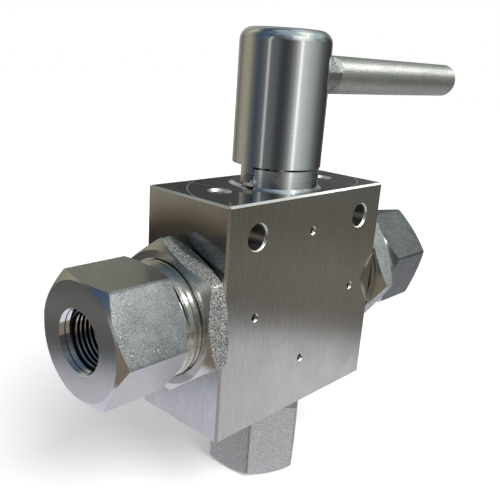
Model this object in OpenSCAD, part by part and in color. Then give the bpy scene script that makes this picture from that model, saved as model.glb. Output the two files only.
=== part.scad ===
// Three-way ball valve for high pressure, with a half-turn handle.
// A bar-stock block carries three screwed-in end adapters. A one-piece ball and stem
// with an L passage joins the bottom port to the right port or to the left port.
// Frame: origin at the centre of the bottom port's face, +Z up the stem,
// +X towards the right port and the handle bar, -Y is the front face of the block.

/* [Valve block] */
// Width of the block, from one side port to the other
block_w = 84.2; // [80:0.2:90]
// Depth of the block, front to back
block_d = 38.1; // [36.5:0.1:42]
// Height of the side ports' axis above the block's underside
port_rise = 41.9; // [40.5:0.1:43.5]
// Height of the block above the side ports' axis
head_rise = 39; // [37:0.1:44]
// Chamfer on the block's edges
block_edge = 0.7; // [0.3:0.1:1.2]
// Radius of the ball chamber and stem bore
chamber_r = 12; // [11.8:0.1:12.4]

/* [Panel and actuator holes] */
// Distance between the two mounting holes through the block
panel_spacing = 57.2; // [54:0.2:60]
// Depth of the mounting holes' axis below the block's top
panel_drop = 11.3; // [10.6:0.1:13]
// Radius of a mounting hole
panel_r = 4.35; // [3.5:0.05:4.6]
// Chamfer at the mouths of the mounting holes
panel_bevel = 0.4; // [0.2:0.1:0.8]
// Distance between the two tapped holes in the top face
actuator_spacing = 55.6; // [52:0.2:60]
// Core radius of a tapped hole
actuator_r = 3.3; // [2.5:0.05:3.6]
// Depth of a tapped hole
actuator_depth = 5.5; // [4:0.1:5.8]
// Countersink at the mouth of a tapped hole
actuator_bevel = 0.85; // [0.3:0.05:1.2]

/* [Weep holes] */
// Radius of a weep hole
weep_r = 1.3; // [0.8:0.1:1.5]
// Chamfer at the mouth of a weep hole
weep_bevel = 0.3; // [0.1:0.1:0.6]
// Distance of a side weep hole from the stem axis
weep_side = 27.2; // [26:0.1:28]
// Distance of the lower weep hole below the side ports' axis
weep_low = 22.6; // [22:0.1:24]
// Depth of the upper weep hole below the block's top
weep_top = 13.2; // [12.4:0.1:13.4]

/* [Side adapters] */
// Distance from the stem axis to the left port's face
left_reach = 82.1; // [80:0.1:90]
// Distance from the stem axis to the right port's face
right_reach = 83.1; // [80:0.1:90]
// Across flats of the side adapters' hexagon
side_hex_af = 38.1; // [36:0.1:42]
// Length of the side adapters' hexagon
side_hex_len = 25; // [20:0.1:27]
// Turn of the left adapter as tightened
left_hex_turn = 26.3; // [0:0.1:60]
// Turn of the right adapter as tightened
right_hex_turn = 16.5; // [0:0.1:60]
// Root radius of the lock thread
lock_root_r = 17.8; // [17:0.05:18.4]

/* [Bottom adapter] */
// Length of the bottom adapter below the block
bottom_reach = 30; // [27:0.1:36]
// Across flats of the bottom adapter's hexagon
bottom_hex_af = 32.7; // [30:0.1:36]
// Height of the neck between hexagon and block
bottom_neck = 1.2; // [0.6:0.1:3]
// Turn of the bottom adapter as tightened
bottom_hex_turn = 25.3; // [0:0.1:60]

/* [Adapter noses] */
// Radius of the nose thread in the block
nose_thread_r = 13.5; // [13:0.1:14]
// Radius of the smooth pilot ahead of the nose thread
pilot_r = 11; // [10.6:0.1:11.4]
// Distance from the stem axis to a side nose's tip
side_tip = 12.6; // [12.5:0.05:13]
// Distance from the side ports' axis down to the bottom nose's tip
bottom_tip = 15; // [14.6:0.05:15.6]
// Depth of the seat pocket in a side nose
side_seat_pocket = 3.4; // [3:0.1:4]
// Depth of the seat pocket in the bottom nose
bottom_seat_pocket = 2.6; // [2.4:0.1:2.8]
// Length of the annular weep groove behind the nose thread
weep_groove = 3.4; // [3:0.1:4]
// Chamfer on hexagon ends, measured across the face
hex_face_drop = 0.65; // [0.3:0.05:1.2]
// Angle of the hexagon chamfers
hex_chamfer = 30; // [20:1:35]
// Break on the long corners of the hexagons
hex_corner = 0.25; // [0.1:0.05:0.5]
// Chamfer at the leading ends of the male threads
thread_lead = 0.8; // [0.4:0.1:1.2]
// Chamfer at the mouths of the adapter bores
bore_bevel = 0.5; // [0.3:0.1:1]

/* [Ports] */
// Radius of the flow passage
flow_r = 3.95; // [3:0.05:4.4]
// Radius of the smooth entry ahead of a port's thread
entry_r = 10.1; // [9.9:0.05:10.4]
// Depth of the smooth entry
entry_depth = 3.8; // [3.2:0.1:6]
// Root radius of a port's female thread
port_thread_r = 9.6; // [9.2:0.05:9.8]
// Length of a port's female thread
port_thread_len = 14; // [10:0.5:16]
// Radius of the tube bore below the thread
tube_r = 7.4; // [7.2:0.05:7.8]
// Depth of the tube bore
tube_depth = 3; // [2:0.1:4]
// Half angle of the sealing cone
cone_angle = 30; // [28:0.5:32]

/* [Locknuts] */
// Across flats of the locknuts
nut_af = 44.8; // [42:0.1:48]
// Thickness of a locknut's hexagon
nut_t = 8.7; // [7:0.1:10]
// Height of a locknut's washer face
nut_boss = 0.6; // [0.3:0.1:1]
// Step from a locknut's flats in to its washer face
nut_boss_step = 1.4; // [0.8:0.1:2]
// Widening at the mouths of a locknut's thread
nut_countersink = 1.7; // [1:0.1:2]
// Depth of the counterbore in a locknut's outer face
nut_counterbore = 2.8; // [2:0.1:4]
// Turn of the left locknut as tightened
left_nut_turn = 7.6; // [0:0.1:60]
// Turn of the right locknut as tightened
right_nut_turn = 35.3; // [0:0.1:60]

/* [Seats and seals] */
// Outer radius of a seat ring
seat_r = 9; // [8.4:0.05:9.2]
// Distance from the stem axis to a side seat's front edge
seat_front = 9; // [8.6:0.1:9.6]
// Section diameter of a nose O-ring
oring_d = 1.7; // [1.5:0.05:1.75]
// Width of a backup ring
backup_w = 0.9; // [0.7:0.05:1]
// Play of O-ring and backup ring along their groove
groove_play = 0.2; // [0.1:0.05:0.4]
// Distance from a seal groove to the weep groove
groove_land = 0.2; // [0.1:0.05:0.4]
// Floor radius of a seal groove
groove_floor_r = 9.3; // [9.2:0.05:9.6]

/* [Ball and stem] */
// Radius of the ball
ball_r = 11.1; // [10.8:0.05:11.4]
// Radius of the lower trunnion
trunnion_r = 8; // [7.6:0.05:8.4]
// Distance from the side ports' axis down to the trunnion's end
trunnion_drop = 14; // [13.6:0.1:14.2]
// Radius of the stem shank
stem_r = 6.5; // [6.2:0.05:7]
// Radius of the thrust collar
collar_r = 11; // [10:0.1:11.4]
// Height of the thrust collar's underside above the side ports' axis
collar_rise = 9.6; // [9.5:0.1:10.5]
// Thickness of the thrust collar
collar_t = 3; // [2.4:0.1:3.2]
// Across flats of the square on the stem's upper end
square_af = 9.2; // [8.6:0.05:9.3]
// Height of the square above the top of the bar's thread
square_over = 0.6; // [0.2:0.1:2]
// Radius of the dimple that the bar's point enters
dimple_r = 3.2; // [2:0.1:3.6]
// Depth of the dimple
dimple_depth = 1; // [0.4:0.1:1.4]

/* [Stem packing] */
// Thickness of the thrust washer
washer_t = 1.5; // [1:0.1:2]
// Thickness of the steel ring under the packing
backing_t = 1.5; // [1:0.1:2]
// Thickness of the follower ring on the packing
follower_t = 1.5; // [1:0.1:2]

/* [Packing gland] */
// Radius of the gland and of its stop segment
gland_r = 15.3; // [15:0.05:15.5]
// Radius of the gland's coned foot on the block
gland_foot_r = 16.7; // [16:0.1:17.2]
// Length of the gland's thread
gland_thread_len = 11.4; // [10.5:0.1:11.6]
// Length of the gland's pilot below its thread
gland_pilot_len = 5; // [4.4:0.1:6]
// Thickness of the lip under the bushing
gland_lip = 1.5; // [1:0.1:2]
// Radius of the gland's centre boss
gland_boss_r = 11; // [9.5:0.1:11.1]
// Height of the gland's foot, where its cut-down half ends
gland_low = 0.7; // [0.4:0.1:1.4]
// Wall of the bushing in the gland
bushing_wall = 1.45; // [1:0.05:2]

/* [Handle] */
// Radius of the hub
hub_r = 15.7; // [15.4:0.05:17]
// Height of the hub's rim above the block
rim_rise = 7.45; // [6.5:0.05:9]
// Height of the hub's top above the block
hub_rise = 52.3; // [50:0.1:60]
// Rounding of the hub's top edge
hub_round = 4.4; // [3:0.1:7]
// Depth of the round lead into the hub's square socket
socket_lead = 1.4; // [1:0.1:2]
// Height of the handle bar's axis above the block
bar_rise = 38.2; // [36:0.1:41]
// Distance from the stem axis to the bar's end
bar_reach = 114.8; // [80:0.2:150]
// Radius of the bar
bar_r = 6.9; // [6:0.05:7.2]
// Radius of the bar's threaded end
bar_thread_r = 4.75; // [4.2:0.05:5]
// Length of the bar's unthreaded point outside the stem's square
bar_neck_len = 1.2; // [0.8:0.1:2]
// Across the bar's wrench flats
bar_flat_af = 12.1; // [11:0.1:12.4]
// Length of the wrench flats outside the hub
bar_flat_len = 9.2; // [6:0.1:14]
// Direction of the first wrench flat, from the rear towards the top
bar_flat_turn = 142; // [0:1:180]
// Chamfer on the bar's free end
bar_edge = 0.5; // [0.3:0.1:1.5]
// Direction of the stop leg, seen from above
leg_at = 181; // [176:0.5:184]
// Width of the stop leg as an angle
leg_width = 20; // [14:0.5:30]
// Inner radius of the stop leg
leg_inner_r = 11.6; // [11.4:0.1:12.6]
// Height of the stop leg's foot above the block
leg_foot = 1.9; // [1.8:0.1:3]

/* [Clearances] */
// Radial clearance of screwed and seated pieces
fit_gap = 0.05; // [0.02:0.01:0.08]
// Clearance of faces that slide on each other
slide_gap = 0.05; // [0.02:0.01:0.1]
// Clearance between ball and seats
ball_gap = 0.15; // [0.05:0.01:0.25]
// Clearance between the hub's rim and the gland
rim_gap = 0.75; // [0.4:0.05:1]
// Angle left between the stop leg and the gland's segment
stop_gap = 0.5; // [0.3:0.1:1]
// Clearance at the blind ends of bores and sockets
end_gap = 0.2; // [0.1:0.05:0.4]

/* [Hidden] */
$fn = 96;

steel = "#b9b8b4";
dark_steel = "#8d8f8e";
blasted_steel = "#a3a9a6";
polished_steel = "#cfd1d2";
seat_plastic = "#c9b48a";
packing_white = "#efede6";
seal_black = "#202022";
bearing_bronze = "#a8814a";

eps = 0.01;
port_z = bottom_reach + port_rise;
block_top = port_z + head_rise;
block_h = port_rise + head_rise;
half_turn = 180;

// Distances along a port's axis, measured outwards from the stem axis
side_face_in = block_w / 2;
bottom_face_in = port_rise;
lock_start = side_face_in + nut_boss;
bottom_hex_start = bottom_face_in + bottom_neck;
bottom_end = port_z;
side_thread_bore = weep_side - weep_r - end_gap;
bottom_thread_bore = weep_low - weep_r - end_gap;
side_nose_thread = side_thread_bore + weep_groove;
bottom_nose_thread = bottom_thread_bore + weep_groove;
groove_w = oring_d + backup_w + groove_play;
side_groove = side_thread_bore - groove_w - groove_land;
bottom_groove = bottom_thread_bore - groove_w - groove_land;
oring_r = groove_floor_r + oring_d / 2 + slide_gap / 2;

// Heights of the stem stack
collar_top = port_z + collar_rise + collar_t;
washer_z = collar_top + slide_gap;
backing_z = washer_z + washer_t;
packing_z = backing_z + backing_t;
gland_thread_z = block_top - gland_thread_len;
gland_tip_z = gland_thread_z - gland_pilot_len;
follower_z = gland_tip_z - follower_t;
gland_bore_z = block_top - weep_top - weep_r - end_gap;
bushing_z = gland_tip_z + gland_lip;
rim_z = block_top + rim_rise;
hub_top_z = block_top + hub_rise;
gland_top_z = rim_z - rim_gap;
bushing_r = stem_r + fit_gap + bushing_wall;

// Heights and lengths in the handle
bar_z = block_top + bar_rise;
stem_end_z = bar_z + bar_thread_r + square_over;
bar_shoulder = sqrt(pow(hub_r, 2) - pow(bar_r + fit_gap, 2)) - end_gap;
bar_tip = square_af / 2 - dimple_depth + slide_gap;
bar_neck = square_af / 2 + bar_neck_len;

// A disc or ring sector's mask in plan, from one angle to another
function fan(from, to, reach, steps = 8) =
    concat([[0, 0]], [for (i = [0:steps]) let (a = from + (to - from) * i / steps)
        [reach * cos(a), reach * sin(a)]]);

// Turns a shape that points outwards along +Z to the right, left or bottom port
module to_right() translate([0, 0, port_z]) rotate([0, 90, 0]) children();
module to_left() translate([0, 0, port_z]) rotate([0, -90, 0]) children();
module to_bottom() translate([0, 0, port_z]) rotate([180, 0, 0]) children();

module span(r, from, to) translate([0, 0, from]) cylinder(r = r, h = to - from);

module cone_span(r1, r2, from, to) translate([0, 0, from]) cylinder(r1 = r1, r2 = r2, h = to - from);

module washer_ring(inner_r, outer_r, from, to) {
    difference() {
        span(outer_r, from, to);
        span(inner_r, from - 1, to + 1);
    }
}

// Hexagon in plan with its corners broken
module hex_plan(af) {
    corner_r = af / 2 / cos(30);
    intersection() {
        circle(r = corner_r, $fn = 6);
        rotate(30) circle(r = (corner_r - hex_corner) / cos(30), $fn = 6);
    }
}

// Hexagon bar with both ends turned down to a cone, as left by the lathe
module turned_hex(af, from, to, face_r, turn) {
    corner_r = af / 2 / cos(30);
    drop = (corner_r - face_r) * tan(hex_chamfer);
    intersection() {
        translate([0, 0, from]) rotate(turn) linear_extrude(to - from) hex_plan(af);
        rotate_extrude() polygon([[0, from], [face_r, from], [corner_r, from + drop],
            [corner_r, to - drop], [face_r, to], [0, to]]);
    }
}

// Box with every edge chamfered
module broken_box(w, d, h, c) {
    intersection() {
        linear_extrude(h) broken_rect(w, d, c);
        translate([0, d / 2, h / 2]) rotate([90, 0, 0]) linear_extrude(d) broken_rect(w, h, c);
        translate([-w / 2, 0, h / 2]) rotate([90, 0, 90]) linear_extrude(w) broken_rect(d, h, c);
    }
}

module broken_rect(w, h, c) {
    x = w / 2;
    y = h / 2;
    polygon([[-x + c, -y], [x - c, -y], [x, -y + c], [x, y - c],
        [x - c, y], [-x + c, y], [-x, y - c], [-x, -y + c]]);
}

// Bore for one adapter: pilot, annular weep groove and nose thread
module adapter_bore(inner, thread_from, face) {
    span(pilot_r + fit_gap, inner, thread_from + eps);
    span(nose_thread_r + fit_gap, thread_from, face + 1);
    cone_span(nose_thread_r + fit_gap, nose_thread_r + fit_gap + bore_bevel, face - bore_bevel, face + eps);
}

// One weep hole, drilled from the front face to a given depth behind it
module weep_hole(x, z, depth) {
    translate([x, -block_d / 2, z]) rotate([-90, 0, 0]) {
        translate([0, 0, -1]) cylinder(r = weep_r, h = depth + 1);
        translate([0, 0, -eps]) cylinder(r1 = weep_r + weep_bevel, r2 = weep_r, h = weep_bevel);
    }
}

module panel_hole(x) {
    translate([x, 0, block_top - panel_drop]) rotate([90, 0, 0]) {
        cylinder(r = panel_r, h = block_d + 2, center = true);
        for (s = [-1, 1]) translate([0, 0, s * (block_d / 2 - panel_bevel / 2 + eps)])
            cylinder(r1 = panel_r + (s < 0 ? panel_bevel : 0), r2 = panel_r + (s < 0 ? 0 : panel_bevel),
                h = panel_bevel, center = true);
    }
}

module actuator_hole(x) {
    translate([x, 0, block_top]) {
        translate([0, 0, -actuator_depth]) cylinder(r = actuator_r, h = actuator_depth + 1);
        translate([0, 0, -actuator_bevel]) cylinder(r1 = actuator_r, r2 = actuator_r + actuator_bevel,
            h = actuator_bevel + eps);
    }
}

module valve_block() {
    color(steel) difference() {
        translate([0, 0, bottom_reach]) broken_box(block_w, block_d, block_h, block_edge);
        span(chamber_r, port_z - trunnion_drop, gland_bore_z + eps);
        span(gland_r + fit_gap, gland_bore_z, block_top + 1);
        to_right() adapter_bore(0, side_thread_bore, side_face_in);
        to_left() adapter_bore(0, side_thread_bore, side_face_in);
        to_bottom() adapter_bore(0, bottom_thread_bore, bottom_face_in);
        for (s = [-1, 1]) {
            panel_hole(s * panel_spacing / 2);
            actuator_hole(s * actuator_spacing / 2);
            weep_hole(s * weep_side, port_z, block_d / 2 - pilot_r);
        }
        weep_hole(0, port_z - weep_low, block_d / 2 - pilot_r);
        weep_hole(0, block_top - weep_top, block_d / 2 - chamber_r);
    }
}

// Coned and threaded female port, cut inwards from its face
module port_cut(face) {
    thread_end = face - entry_depth - port_thread_len;
    cone_mouth = thread_end - tube_depth;
    cone_tip = cone_mouth - (tube_r - flow_r) / tan(cone_angle);
    span(entry_r, face - entry_depth, face + 1);
    span(port_thread_r, thread_end, face);
    span(tube_r, cone_mouth, face);
    cone_span(flow_r, tube_r, cone_tip, cone_mouth);
    span(flow_r, 0, face);
}

// Inner end of an adapter: pilot with seat pocket and seal groove, then the nose thread
module adapter_nose(tip, pocket, groove, thread_from, thread_to) {
    difference() {
        union() {
            span(pilot_r, tip, thread_from + eps);
            cone_span(nose_thread_r - thread_lead, nose_thread_r, thread_from, thread_from + thread_lead);
            span(nose_thread_r, thread_from + thread_lead, thread_to);
        }
        span(seat_r + fit_gap, tip - 1, tip + pocket);
        washer_ring(groove_floor_r, pilot_r + 1, groove, groove + groove_w);
    }
}

module side_adapter(reach, turn) {
    hex_start = reach - side_hex_len;
    difference() {
        union() {
            adapter_nose(side_tip, side_seat_pocket, side_groove, side_nose_thread, lock_start + eps);
            cone_span(lock_root_r - thread_lead, lock_root_r, lock_start, lock_start + thread_lead);
            span(lock_root_r, lock_start + thread_lead, hex_start + eps);
            turned_hex(side_hex_af, hex_start, reach, side_hex_af / 2 - hex_face_drop, turn);
        }
        port_cut(reach);
    }
}

module left_adapter() color(blasted_steel) to_left() side_adapter(left_reach, left_hex_turn);

module right_adapter() color(blasted_steel) to_right() side_adapter(right_reach, right_hex_turn);

module bottom_adapter() {
    color(blasted_steel) to_bottom() difference() {
        union() {
            adapter_nose(bottom_tip, bottom_seat_pocket, bottom_groove, bottom_nose_thread,
                bottom_hex_start + eps);
            turned_hex(bottom_hex_af, bottom_hex_start, bottom_end,
                bottom_hex_af / 2 - hex_face_drop, bottom_hex_turn);
        }
        port_cut(bottom_end);
    }
}

// Chamfered hexagon nut with a washer face and a thread relieved at both mouths
module locknut(turn) {
    from = side_face_in + nut_boss;
    to = from + nut_t;
    bore = lock_root_r + fit_gap;
    difference() {
        union() {
            span(nut_af / 2 - nut_boss_step, side_face_in, from + eps);
            turned_hex(nut_af, from, to, nut_af / 2 - hex_face_drop / 2, turn);
        }
        span(bore, side_face_in - 1, to + 1);
        span(bore + nut_countersink, to - nut_counterbore, to + 1);
        cone_span(bore + nut_countersink, bore, side_face_in - eps, side_face_in + nut_countersink);
    }
}

module left_locknut() color(dark_steel) to_left() locknut(left_nut_turn);

module right_locknut() color(dark_steel) to_right() locknut(right_nut_turn);

// Seat ring with a spherical face that the ball turns in
module side_seat() {
    difference() {
        span(seat_r, seat_front, side_tip + side_seat_pocket);
        sphere(r = ball_r + ball_gap);
        span(flow_r, 0, side_tip + side_seat_pocket + 1);
    }
}

module left_seat() color(seat_plastic) to_left() side_seat();

module right_seat() color(seat_plastic) to_right() side_seat();

module bottom_seat() {
    color(seat_plastic) to_bottom()
        washer_ring(flow_r, seat_r, trunnion_drop + slide_gap, bottom_tip + bottom_seat_pocket);
}

module nose_oring(groove) {
    translate([0, 0, groove + oring_d / 2 + slide_gap]) rotate_extrude()
        translate([oring_r, 0]) circle(r = oring_d / 2, $fn = 32);
}

module backup_ring(groove) {
    washer_ring(groove_floor_r + fit_gap, pilot_r, groove + groove_w - backup_w - slide_gap,
        groove + groove_w - slide_gap);
}

module left_oring() color(seal_black) to_left() nose_oring(side_groove);

module right_oring() color(seal_black) to_right() nose_oring(side_groove);

module bottom_oring() color(seal_black) to_bottom() nose_oring(bottom_groove);

module left_backup_ring() color(packing_white) to_left() backup_ring(side_groove);

module right_backup_ring() color(packing_white) to_right() backup_ring(side_groove);

module bottom_backup_ring() color(packing_white) to_bottom() backup_ring(bottom_groove);

// Ball, trunnion, thrust collar, shank and square in one piece, with the L passage
module ball_stem() {
    color(polished_steel) difference() {
        union() {
            translate([0, 0, port_z]) sphere(r = ball_r);
            span(trunnion_r, port_z - trunnion_drop, port_z);
            span(trunnion_r, port_z, port_z + collar_rise + eps);
            span(collar_r, port_z + collar_rise, collar_top);
            span(stem_r, collar_top - eps, rim_z + socket_lead - end_gap);
            translate([-square_af / 2, -square_af / 2, rim_z])
                cube([square_af, square_af, stem_end_z - rim_z]);
        }
        span(flow_r, port_z - trunnion_drop - 1, port_z);
        translate([0, 0, port_z]) rotate([0, 90, 0]) cylinder(r = flow_r, h = ball_r + 1);
        translate([0, 0, port_z]) sphere(r = flow_r);
        translate([square_af / 2 - dimple_depth, 0, bar_z]) rotate([0, 90, 0])
            cylinder(r = dimple_r, h = dimple_depth + 1);
    }
}

module lower_bearing() {
    color(bearing_bronze) washer_ring(trunnion_r + slide_gap, chamber_r - fit_gap,
        port_z - trunnion_drop, port_z - seat_r - slide_gap);
}

module thrust_washer() {
    color(seat_plastic) washer_ring(stem_r + slide_gap, chamber_r - fit_gap, washer_z, backing_z);
}

module packing_backing_ring() {
    color(steel) washer_ring(stem_r + slide_gap, chamber_r - fit_gap, backing_z, packing_z);
}

module stem_packing() {
    color(packing_white) washer_ring(stem_r + slide_gap, chamber_r - fit_gap, packing_z, follower_z);
}

module packing_follower() {
    color(steel) washer_ring(stem_r + slide_gap, chamber_r - fit_gap, follower_z, gland_tip_z);
}

// Screwed gland with a coned foot, whose front half stands up as the stop for the handle's leg
module packing_gland() {
    seg_from = leg_at + leg_width / 2 + stop_gap;
    seg_to = leg_at - leg_width / 2 + half_turn - stop_gap;
    color(polished_steel) difference() {
        union() {
            span(chamber_r - fit_gap, gland_tip_z, gland_thread_z + eps);
            span(gland_r, gland_thread_z, block_top + eps);
            cone_span(gland_foot_r, gland_r, block_top, block_top + gland_low);
            span(gland_boss_r, block_top, gland_top_z);
            translate([0, 0, block_top]) linear_extrude(gland_top_z - block_top) intersection() {
                circle(r = gland_r);
                polygon(fan(seg_from, seg_to, 2 * gland_r));
            }
        }
        span(bushing_r + fit_gap, bushing_z, gland_top_z + 1);
        span(stem_r + slide_gap, gland_tip_z - 1, gland_top_z);
    }
}

module gland_bushing() {
    color(bearing_bronze) washer_ring(stem_r + slide_gap, bushing_r, bushing_z, gland_top_z);
}

// Deep round hub with a rounded top, a square socket and the stop leg
module handle_hub() {
    height = hub_top_z - rim_z;
    half = square_af / 2 + fit_gap;
    color(polished_steel) difference() {
        union() {
            translate([0, 0, rim_z]) rotate_extrude() {
                square([hub_r - hub_round, height]);
                square([hub_r, height - hub_round]);
                intersection() {
                    translate([hub_r - hub_round, height - hub_round]) circle(r = hub_round);
                    square([hub_r, height]);
                }
            }
            translate([0, 0, block_top + leg_foot]) linear_extrude(rim_z - block_top - leg_foot + eps)
                intersection() {
                    difference() {
                        circle(r = hub_r);
                        circle(r = leg_inner_r);
                    }
                    polygon(fan(leg_at - leg_width / 2, leg_at + leg_width / 2, 2 * hub_r));
                }
        }
        span(stem_r + fit_gap, rim_z - 1, rim_z + socket_lead);
        translate([-half, -half, rim_z]) cube([2 * half, 2 * half, stem_end_z + end_gap - rim_z]);
        translate([0, 0, bar_z]) rotate([0, 90, 0]) {
            cylinder(r = bar_thread_r + fit_gap, h = hub_r);
            translate([0, 0, bar_shoulder]) cylinder(r = bar_r + fit_gap, h = hub_r);
        }
    }
}

// Round bar with a threaded end, a dog point and four wrench flats
module handle_bar() {
    flat_end = hub_r + bar_flat_len;
    flat_r = bar_flat_af / 2;
    point_r = dimple_r - fit_gap;
    color(blasted_steel) translate([0, 0, bar_z]) rotate([0, 90, 0]) difference() {
        rotate_extrude() polygon([[0, bar_tip], [point_r, bar_tip], [point_r, bar_neck],
            [bar_thread_r, bar_neck + thread_lead], [bar_thread_r, bar_shoulder], [bar_r, bar_shoulder],
            [bar_r, bar_reach - bar_edge], [bar_r - bar_edge, bar_reach], [0, bar_reach]]);
        for (k = [0:3]) rotate(90 + bar_flat_turn + 90 * k) translate([0, bar_r, 0]) rotate([90, 0, 90])
            linear_extrude(2 * bar_r, center = true)
                polygon([[flat_r - bar_r, bar_shoulder - 1], [1, bar_shoulder - 1],
                    [1, flat_end + bar_r - flat_r + 1], [flat_r - bar_r, flat_end]]);
    }
}

valve_block();
left_adapter();
right_adapter();
bottom_adapter();
left_locknut();
right_locknut();
left_seat();
right_seat();
bottom_seat();
left_oring();
right_oring();
bottom_oring();
left_backup_ring();
right_backup_ring();
bottom_backup_ring();
ball_stem();
lower_bearing();
thrust_washer();
packing_backing_ring();
stem_packing();
packing_follower();
packing_gland();
gland_bushing();
handle_hub();
handle_bar();
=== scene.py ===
import math

import bmesh
import bpy
from mathutils import Euler, Matrix, Vector


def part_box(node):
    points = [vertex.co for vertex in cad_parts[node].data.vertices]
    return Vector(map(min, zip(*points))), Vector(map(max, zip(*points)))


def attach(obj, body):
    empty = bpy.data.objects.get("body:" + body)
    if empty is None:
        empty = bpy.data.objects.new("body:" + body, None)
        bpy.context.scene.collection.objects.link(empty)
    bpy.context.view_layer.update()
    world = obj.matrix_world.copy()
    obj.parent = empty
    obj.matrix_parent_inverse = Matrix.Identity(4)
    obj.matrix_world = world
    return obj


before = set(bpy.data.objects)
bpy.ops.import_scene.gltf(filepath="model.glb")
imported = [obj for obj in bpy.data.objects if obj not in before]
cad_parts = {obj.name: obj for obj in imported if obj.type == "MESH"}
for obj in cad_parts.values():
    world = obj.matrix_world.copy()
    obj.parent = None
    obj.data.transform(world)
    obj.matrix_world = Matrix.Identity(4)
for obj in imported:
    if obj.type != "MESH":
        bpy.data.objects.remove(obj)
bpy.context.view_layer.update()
scene = bpy.context.scene
MM = 0.001


# The camera stands in front of the valve's left port, a little above the block, and
# looks down on it, as the photograph does. It was solved from the block's corners and
# holes, so the valve falls on the same pixels.

camera_data = bpy.data.cameras.new("camera")
camera_data.sensor_width = 36
camera_data.lens = 47.0
camera_data.shift_x = 0.0097
camera_data.shift_y = 0.0373
camera_data.clip_start = 0.01
camera = bpy.data.objects.new("camera", camera_data)
scene.collection.objects.link(camera)
camera.matrix_world = Matrix((
    (0.6827, 0.181, -0.708, -0.17867),
    (-0.7276, 0.2587, -0.6354, -0.14921),
    (0.0681, 0.9489, 0.3083, 0.15341),
    (0, 0, 0, 1),
))
scene.camera = camera
scene.view_settings.view_transform = "Standard"


# The studio is a pale floor under a broad soft lamp, with a low sun that only makes glints.
# The camera sees white. Metal sees white ground and pale upper light, crossed by the darker
# strips and the brown far ground that give steel its contrast.

FLOOR_REACH = 3.0
FLOOR_DROP = 0.2 * MM
GROUND_TILT = 0.013
ZENITH = (0.39, 0.48, 0.54)
FAR_GROUND = (0.24, 0.205, 0.16)


def add_node(tree, kind, settings=None, sockets=None):
    """One node. Settings go on the node, and each socket takes a value or a link."""
    node = tree.nodes.new(kind)
    for name, value in (settings or {}).items():
        setattr(node, name, value)
    for name, value in (sockets or {}).items():
        if isinstance(value, bpy.types.NodeSocket):
            tree.links.new(value, node.inputs[name])
        else:
            node.inputs[name].default_value = value
    return node


def calc(tree, operation, first, second=0.5, third=0.5):
    """A Math node's result, from sockets or numbers."""
    sockets = {0: first, 1: second, 2: third}
    return add_node(tree, "ShaderNodeMath", {"operation": operation}, sockets).outputs[0]


def add_up(tree, start, *parts):
    """A value plus each part's mask times its share, in turn."""
    for mask, share in parts:
        start = calc(tree, "MULTIPLY_ADD", mask, share, start)
    return start


def split(tree, vector):
    """A vector's X, Y and Z."""
    return add_node(tree, "ShaderNodeSeparateXYZ", None, {0: vector}).outputs


def between(tree, value, start, end):
    """0 up to one value, 1 from another, and even in between."""
    sockets = {0: value, 1: start, 2: end, 3: 0.0, 4: 1.0}
    return add_node(tree, "ShaderNodeMapRange", None, sockets).outputs[0]


def ramp(tree, factor, stops):
    """A colour ramp's colour. A stop is a place from 0 to 1, then a grey or an RGB colour."""
    node = add_node(tree, "ShaderNodeValToRGB", None, {"Fac": factor})
    elements = node.color_ramp.elements
    while len(elements) < len(stops):
        elements.new(0.5)
    for element, (place, tone) in zip(elements, stops):
        element.position = place
        element.color = (*tone, 1) if isinstance(tone, tuple) else (tone, tone, tone, 1)
    return node.outputs["Color"]


def blend_colours(tree, factor, first, second, mode="MIX"):
    """A Mix node's colour, from sockets or RGB colours."""
    first, second = [(*tone, 1) if isinstance(tone, tuple) else tone for tone in (first, second)]
    settings = {"data_type": "RGBA", "blend_type": mode}
    return add_node(tree, "ShaderNodeMix", settings, {0: factor, 6: first, 7: second}).outputs[2]


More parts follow.
